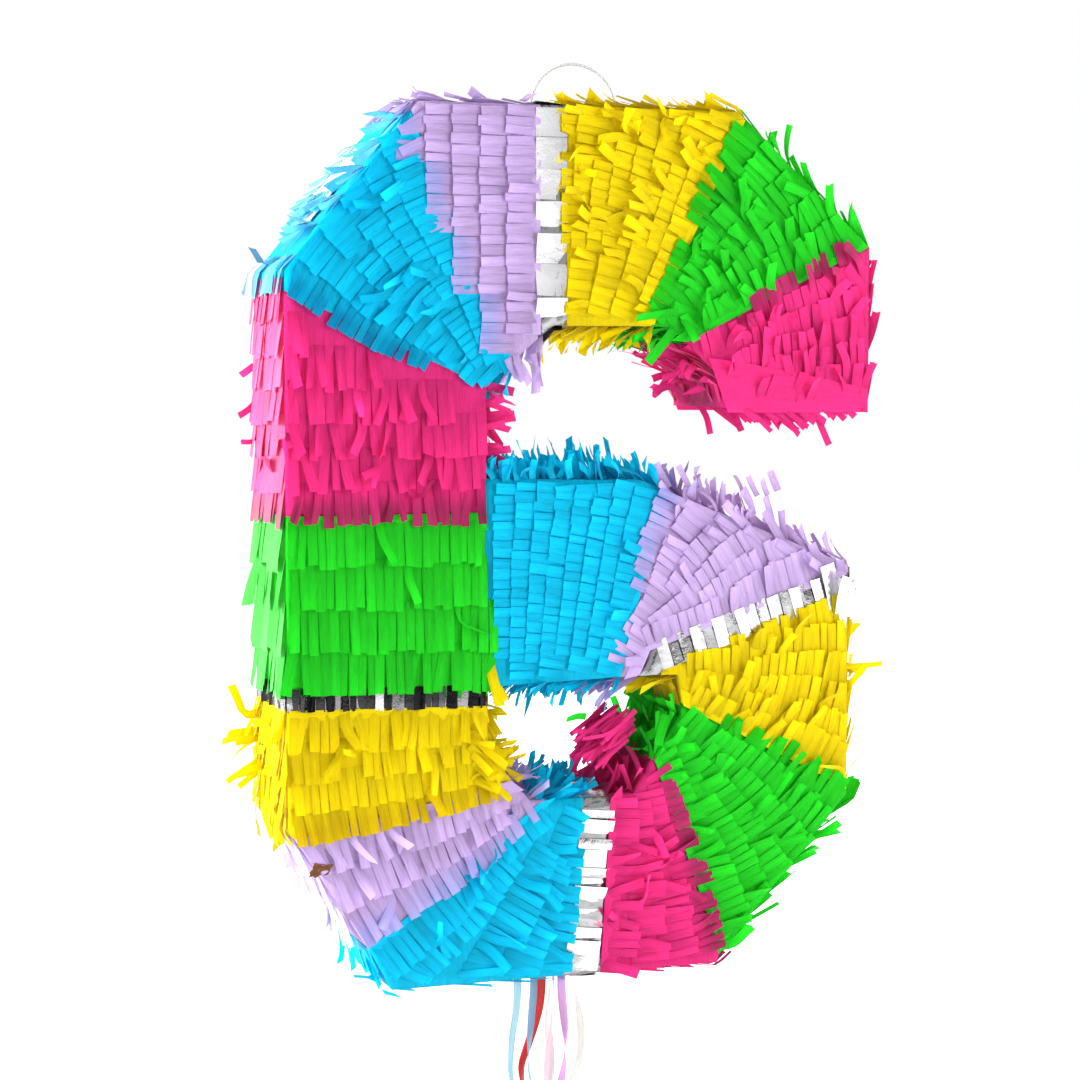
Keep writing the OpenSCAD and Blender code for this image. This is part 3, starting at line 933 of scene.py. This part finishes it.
# Tufts that stray from their rows: where they start, how far that spreads, which way they point,
# how many teeth they have, each tooth's length and width, and how widely they fan out.
TUFTS = {
    "leg_yellow": [((-1, 26, 132), (0, 10, 22), (-0.85, 0, -0.35), 9, 24, 4.5, 0.2),
                   ((106, -40, 128), (4, 1, 15), (0.72, 0, -0.7), 14, 24, 5.5, 0.16),
                   ((114, -38, 182), (2, 1, 1), (0.35, 0, -0.95), 2, 25, 6, 0.1),
                   ((114, -20, 124), (1, 18, 12), (0.9, 0, -0.35), 12, 20, 4.5, 0.2)],
    "bowl_yellow": [((340, -26, 165), (0, 8, 5), (1, 0, -0.1), 5, 26, 3.5, 0.2)],
    "base_pink": [((203, -14, 140), (7, 20, 9), (-0.8, 0, -0.6), 60, 28, 2.6, 0.06)],
    "bowl_green": [((176, -34, 146), (1, 1, 1), (-1, 0, 0.25), 1, 13, 4, 0.05),
                   ((226, -20, 146), (7, 18, 8), (-0.15, 0, -0.95), 22, 30, 4.5, 0.12)],
    "hook_green": [((228, -40, 368), (1, 1, 1), (-0.68, -0.1, -0.72), 1, 24, 5.5, 0.03),
                   ((233, -40, 375), (1, 1, 1), (0.5, -0.1, -0.85), 1, 23, 5, 0.03),
                   ((230, -40, 380), (3, 1, 3), (-1, -0.05, -0.1), 2, 25, 5, 0.1)],
    "bowl_foil": [((337, -36, 196), (3, 4, 6), (0.06, -0.1, 1), 5, 34, 8, 0.15)],
    "hook_pink": [((240, -32, 352), (6, 5, 4), (-0.55, 0, -0.8), 4, 17, 4, 0.2)],
    "top_lilac": [((136, -34, 354), (12, 6, 4), (0.25, 0, -0.95), 7, 18, 4.5, 0.2)],
    "leg_pink": [((-1, 36, 336), (0, 2, 34), (-0.8, 0, -0.6), 3, 11, 3.5, 0.2),
                 ((115, -34, 318), (0, 5, 22), (0.9, 0, 0.1), 14, 17, 4.5, 0.2)],
    "bowl_lilac": [((262, -34, 264), (40, 4, 14), (-0.35, 0, 0.95), 26, 17, 4, 0.25)],
    "bowl_blue": [((160, -34, 284), (42, 5, 1), (-0.2, 0, 0.95), 34, 16, 4.5, 0.25)],
}


def tufts(band, strip):
    """The band's stray tufts, each tooth with its own bend."""
    r = band.random
    for start, spread, way, count, length, width, fan in TUFTS.get(band.name, ()):
        for _ in range(count):
            base = [c + w * r.uniform(-1, 1) for c, w in zip(start, spread)]
            along = Vector([w + r.gauss(0, fan) for w in way]).normalized()
            out = Vector((r.gauss(0, 2.5 * fan), -1, r.gauss(0, 2.5 * fan)))
            out = (out - along * out.dot(along)).normalized()
            looks = tooth_looks(r, 0.9, band)
            looks["curl"] = r.gauss(1, 17 * fan)
            looks["rise"] = 0.0
            strip.tooth(straight(spot(*base), along, out), length * r.uniform(0.6, 1.1),
                        width * r.uniform(0.8, 1.2), **looks)


def fringe(index):
    band = Band(index)
    strip = Strip()
    base_skin(band, strip)
    for side in (-1, 1):
        if not band.level and not band.foil:
            header(band, strip, side)
        face_rows(band, strip, side)
    wall_rows(band, strip)
    tufts(band, strip)
    if index == 0:
        hook_end_teeth(band, strip)
    strip.piece(band.name + "_fringe", TISSUE[band.colour], "shell", SLOTS[band.colour],
                ["fringe_" + band.name])


for index in range(len(BANDS)):
    fringe(index)

# ---- fill flap and torn spot
FLAP_START, FLAP_FRONT = 36, -6
FLAP_LONG, FLAP_WIDE, FLAP_THICK = 60, 42, 0.8
FLAP_OFF, FLAP_BOW, FLAP_LIP, FLAP_CORNER = 1.0, 1.5, 0.9, 0.8
FLAP_ROWS = (94, 84, 74, 64, 58, 53, 48, 43)  # where the flap's rows of teeth start
FLAP_ROW_OFF = 2.8


def on_slope(along, y, out):
    """A place on the slanted upper left wall, counted from its lower end."""
    (x1, z1), (x2, z2) = SLOPE_LOW, SLOPE_HIGH
    size = math.dist(SLOPE_LOW, SLOPE_HIGH)
    dx, dz = (x2 - x1) / size, (z2 - z1) / size
    return spot(x1 + dx * along - dz * out, y, z1 + dz * along + dx * out)


def flap_card():
    """The white card over the fill opening, bowed a little by handling."""
    def place(a, b):
        bow = FLAP_BOW * math.sin(math.pi * a) * (0.4 + 0.6 * b) + FLAP_LIP * (1 - a) ** 3
        wave = 0.3 * noise.noise(Vector((a * 3, b * 3, 4)))
        long = FLAP_LONG - (FLAP_CORNER if a in (0, 1) and b in (0, 1) else 0)
        return on_slope(FLAP_START + long * a, FLAP_FRONT + FLAP_WIDE * b, FLAP_OFF + bow + wave)

    strip = Strip()
    strip.sheet(16, 12, place, FLAP_WIDE, FLAP_LONG)
    made = strip.piece("fill_flap_card", CARD_PAPER, "fill_flap", "white_card", ["fill_flap"])
    thick = made.modifiers.new("thickness", "SOLIDIFY")
    thick.thickness = FLAP_THICK * MM
    thick.offset = 0


def flap_fringe():
    """Ragged teeth glued to the flap's back half, which hide its edge."""
    band = Band([b[0] for b in BANDS].index("top_blue"))
    r = random.Random(811)
    strip = Strip()
    for along in FLAP_ROWS:
        y = (27.0 if along > 60 else -6.0) + r.uniform(0, 4)
        while y < 34:
            size = r.uniform(3.6, 5.4)
            y += size + 0.1
            start = on_slope(along, y, FLAP_ROW_OFF)
            way = on_slope(along - 10, y + r.gauss(1.5, 2.5), FLAP_ROW_OFF) - start
            out = (on_slope(along, y, FLAP_ROW_OFF + 1) - start).normalized()
            looks = tooth_looks(r, 0.8, band)
            looks["rise"] += r.uniform(0.0, 0.2)
            looks["curl"] = r.gauss(0.3, 0.8)
            looks["turn"] += r.gauss(0, 0.3)
            # painted glare: the flap faces the key light
            looks["painted_glare"] = r.uniform(0.12, 0.25)
            strip.tooth(straight(start, way.normalized(), out), r.uniform(9, 14), size, **looks)
    strip.piece("fill_flap_fringe", TISSUE[BLUE], "fill_flap", "tissue_blue")


TORN_PLACE = (17, -3.4, 69)  # Y is counted from the front panel
TORN_SIZE = (11, 8)
TORN_BROWN = (0.45, 0.30, 0.17)


def torn_spot():
    """A torn scrap at the lower left edge, where the board's brown liner shows."""
    def place(a, b):
        rag = 1 + 0.35 * noise.noise(Vector((a * 4, b * 4, 9)))
        x = TORN_PLACE[0] + (a - 0.5) * TORN_SIZE[0] * rag + (b - 0.5) * 3
        z = TORN_PLACE[2] + (b - 0.5) * TORN_SIZE[1] * rag * (1 - 0.3 * a)
        crease = 1.3 * noise.noise(Vector((a * 5, b * 5, 2)))
        return spot(x, FRONT + TORN_PLACE[1] - crease - 1.2 * a * b, z)

    strip = Strip()
    strip.sheet(8, 8, place, 12, 10)
    strip.piece("torn_liner", kraft_board("torn_kraft", TORN_BROWN, 0.002), "shell", "cardboard")


flap_card()
flap_fringe()
torn_spot()

# ---- ribbons
# The routes repeat part.scad's points, in millimetres: X and the turn of the width at each level.
LEVELS = [0, -12, -24, -36, -48, -60, -74, -88, -98, -106]
ROW_FRONT, ROW_BACK = (-32, -32), (-26, -26)
RELEASE_ROW = (-21.5, -16)
RELEASE_START = -1.2
COIL_X, COIL_Z, COIL_NEAR, TURN_STEP = 126, -122, 26.8, 1.2
COIL_PITCH, RELEASE_PITCH = 3.6, 2.4
RIBBON_W, RIBBON_T, CAMBER = 5.0, 0.25, 0.14
RIBBON_LENGTH = 0.40
# Name, colour, Y at its upper and lower end, X and turn at each level, and its place in the coil.
RIBBONS = [
    ("ribbon_light_blue", (0.64, 0.80, 0.86), ROW_FRONT,
     [135, 135, 134, 132, 131, 131, 135, 143, 150], [10, 10, 15, 20, 30, 40, 70, 90, 90, 90], 0),
    ("ribbon_pink", (0.93, 0.80, 0.84), ROW_FRONT,
     [157, 157, 156.5, 155.5, 154, 153, 153, 153, 154], [50, 60, 65, 50, 20, 20, 60, 90, 90, 90], 1),
    ("ribbon_lilac", (0.85, 0.65, 0.86), ROW_FRONT,
     [162, 162, 163, 164, 164, 163, 160, 157, 155.5],
     [0, -10, -30, -60, -110, -150, -200, -255, -270, -270], 2),
    ("ribbon_dusty_blue", (0.50, 0.65, 0.77), ROW_BACK,
     [147, 147, 146, 145, 144, 144, 147, 151, 152.5], [20, 10, 10, 20, 55, 85, 90, 90, 90, 90], 0),
    ("ribbon_white", (0.95, 0.945, 0.935), ROW_BACK,
     [158, 157, 156, 156, 157, 158, 157, 155, 154], [80, 60, 30, 10, 0, 20, 60, 90, 90, 90], 1),
    ("ribbon_cream", (0.87, 0.86, 0.84), ROW_BACK,
     [169, 171, 174, 176, 176, 174, 167, 159, 156], [80, 70, 40, 10, 0, 20, 60, 90, 90, 90], 2),
    ("release_ribbon", (0.82, 0.02, 0.05), RELEASE_ROW,
     [153.5, 153.5, 152.5, 149.5, 145.5, 142, 144, 149, 153],
     [-10, -15, -15, -10, 0, 20, 60, 90, 90, 90], 1),
]
# A ribbon's cross-section, with its edges rounded over, in half widths and half thicknesses.
SECTION = [(-1, -0.6), (-1, 0.6), (-0.5, 1), (0, 1), (0.5, 1), (1, 0.6), (1, -0.6),
           (0.5, -1), (0, -1), (-0.5, -1)]


def spline(p0, p1, p2, p3, t):
    return [0.5 * (2 * b + (c - a) * t + (2 * a - 5 * b + 4 * c - d) * t * t
                   + (3 * b - a - 3 * c + d) * t ** 3) for a, b, c, d in zip(p0, p1, p2, p3)]


def smooth(points, steps):
    last = len(points) - 1
    found = []
    for k in range(steps * last + 1):
        i = min(k // steps, last - 1)
        found.append(spline(points[max(i - 1, 0)], points[i], points[i + 1],
                            points[min(i + 2, last)], k / steps - i))
    return found


def ribbon_route(row, levels_x, turns, order):
    """The hanging stretch, then the coil's turns, as [x, y, z, turn of the width]."""
    released = row == RELEASE_ROW
    y0, y1 = row
    radius = COIL_NEAR + order * TURN_STEP
    last = len(LEVELS) - 1
    points = []
    for i, (x, z) in enumerate(zip(levels_x + [COIL_X + radius], LEVELS)):
        z = RELEASE_START if released and i == 0 else z
        points.append([x, y0 + (y1 - y0) * i / last, z, turns[i]])
    route = smooth(points, 8)
    length = sum(math.dist(a[:3], b[:3]) for a, b in zip(route, route[1:]))
    step = COIL_Z - LEVELS[-1]
    for k in range(1, 5):
        route.append([COIL_X + radius, y1, LEVELS[-1] + step * k / 4, turns[-1]])
    length += abs(step)
    pitch = RELEASE_PITCH if released else COIL_PITCH
    angle = 0.0
    turn = math.radians(10)
    while length < RIBBON_LENGTH / MM:
        angle += turn
        r = radius - pitch * angle / (2 * math.pi)
        route.append([COIL_X + r * math.cos(angle), y1, COIL_Z - r * math.sin(angle), turns[-1]])
        length += r * turn
    return route


def ribbon(name, colour, row, levels_x, turns, order):
    """A flat ribbon swept along its route."""
    route = ribbon_route(row, levels_x, turns, order)
    path = [spot(*p[:3]) for p in route]
    strip = Strip()
    done = 0.0
    count = len(SECTION)
    for i, p in enumerate(path):
        before = path[max(i - 1, 0)]
        along = (path[min(i + 1, len(path) - 1)] - before).normalized()
        turn = math.radians(route[i][3])
        flat = Vector((math.cos(turn), math.sin(turn), 0))
        across = (flat - along * flat.dot(along)).normalized()
        out = along.cross(across)
        done += (p - before).length
        for a, b in SECTION:
            side = a * RIBBON_W / 2 * MM
            high = b * RIBBON_T / 2 + CAMBER * (1 - a * a)
            strip.add(p + across * side + out * (high * MM), (side, done))
    for i in range(len(path) - 1):
        for s in range(count):
            a, b = i * count + s, i * count + (s + 1) % count
            strip.faces.append((a, b, b + count, a + count))
    strip.faces.append(tuple(range(count))[::-1])
    strip.faces.append(tuple((len(path) - 1) * count + s for s in range(count)))

    body, slot, kind = "shell", name, "ribbon"
    if row == RELEASE_ROW:
        body, slot, kind = "release_ribbon", "ribbon_red", "release"
    made = strip.piece(name + "_strip", curling_ribbon(name + "_film", colour), body, slot,
                       [name, kind + "_coil"])


for spec in RIBBONS:
    ribbon(*spec)


# ---- CAD nodes that stay
def dress(names, material):
    for name in names:
        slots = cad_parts[name].data.materials
        slots.clear()
        slots.append(material)


walls = [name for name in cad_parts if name.startswith("wall_")]
dress(walls + ["front_panel", "back_panel", "trapdoor", "hanger_plate"],
      kraft_board("kraft_board", (0.72, 0.55, 0.38)))
dress(["ribbon_tie", "release_tie"], CARD_PAPER)
dress(["hanging_loop"], nylon())

# ---- studio
FLOOR_DROP = 0.002  # metres below the lowest CAD part
FLOOR_GLOW = 0.62
SEEN_LIGHT, LIT_LIGHT, MIRRORED_LIGHT = 1.0, 0.40, 0.95
GAP_FROM, GAP_FULL = 0.57, 0.62  # noise levels between which a white panel turns to a dark gap
GAP_DARK = (0.022, 0.016, 0.013, 1)
WHITE = (1, 1, 1, 1)
# Each lamp's place, size and power.
LAMPS = {"key": ((-4.2, 0.06, 0.5), (1.3, 1.9), 470),
         "front": ((0.78, -0.78, 0.0), (0.7, 0.9), 11),
         "back_fill": ((0.6, 2.0, 0.6), (1.6, 1.6), 22)}


def add_floor():
    z = cad_box[0][2] - FLOOR_DROP
    mesh = bpy.data.meshes.new("floor")
    mesh.from_pydata([(-6, -6, z), (6, -6, z), (6, 8, z), (-6, 8, z)], [], [(0, 1, 2, 3)])
    floor = bpy.data.objects.new("floor", mesh)
    scene.collection.objects.link(floor)
    s = material("studio_floor")
    base = s.mix(s.noise(s.place(), 3.0, 2), linear((0.96, 0.96, 0.96)), linear((0.98, 0.98, 0.98)))
    mesh.materials.append(s.finish(s.principled(
        Base_Color=base, Roughness=0.9, Emission_Color=WHITE, Emission_Strength=FLOOR_GLOW)))


def add_lamp(name, place, size, power):
    data = bpy.data.lights.new(name, "AREA")
    data.shape = "RECTANGLE"
    data.size, data.size_y = size
    data.energy = power
    light = bpy.data.objects.new(name, data)
    light.visible_glossy = False
    middle = [(a + b) / 2 for a, b in zip(*cad_box)]
    place_aimed(light, place, middle)


def add_world():
    """A white studio. Mirror-like surfaces see dark gaps between its white panels."""
    scene.world = bpy.data.worlds.new("studio")
    s = Shader(scene.world, "OutputWorld")
    gaps = s.noise(s.node("TexCoord").outputs["Generated"], 3.4, 1.0, 0.5)
    panels = s.node("ValToRGB", {"Fac": gaps})
    white, dark = panels.color_ramp.elements
    white.position, white.color = GAP_FROM, WHITE
    dark.position, dark.color = GAP_FULL, GAP_DARK
    room = [s.node("Background", {"Color": colour, "Strength": strength}).outputs[0]
            for colour, strength in ((WHITE, SEEN_LIGHT), (WHITE, LIT_LIGHT),
                                     (panels.outputs["Color"], MIRRORED_LIGHT))]
    ray = s.node("LightPath").outputs
    by_gloss = s.blend(ray["Is Glossy Ray"], room[1], room[2])
    s.finish(s.blend(ray["Is Camera Ray"], by_gloss, room[0]))


add_floor()
add_world()
for name, lamp in LAMPS.items():
    add_lamp(name, *lamp)
